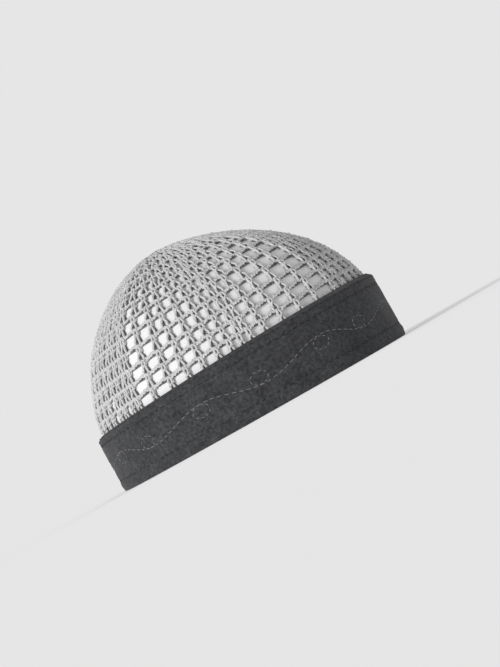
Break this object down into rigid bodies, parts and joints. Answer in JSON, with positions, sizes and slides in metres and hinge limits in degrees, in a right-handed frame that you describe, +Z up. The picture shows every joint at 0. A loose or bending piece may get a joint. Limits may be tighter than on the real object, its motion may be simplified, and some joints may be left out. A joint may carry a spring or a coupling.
{
  "type": "kufi cap",
  "caption": "Round brimless kufi cap: light grey openwork mesh crown over a white lining, set in an upright charcoal cloth band with a stitched wave and loops.",
  "frame": {"origin": "middle of the rim, on the surface that the cap stands on", "axes": "+Z up through the crown; -Y is the embroidered front, and the band stands highest at +X"},
  "size_m": [0.19, 0.19, 0.1155],
  "materials": {
    "charcoal_cloth": "felted charcoal wool cloth, soft and matt, with rows of dark machine stitches and a light grey running stitch",
    "black_cotton": "near-black cotton strip, matt",
    "grey_yarn": "light grey two-ply cotton yarn, worked in an open square mesh",
    "white_cotton": "smooth white cotton, thin and matt"
  },
  "bodies": {
    "root": {"band": "charcoal_cloth", "sweatband": "black_cotton", "crown_net": "grey_yarn", "crown_lining": "white_cotton"}
  },
  "joints": []
}
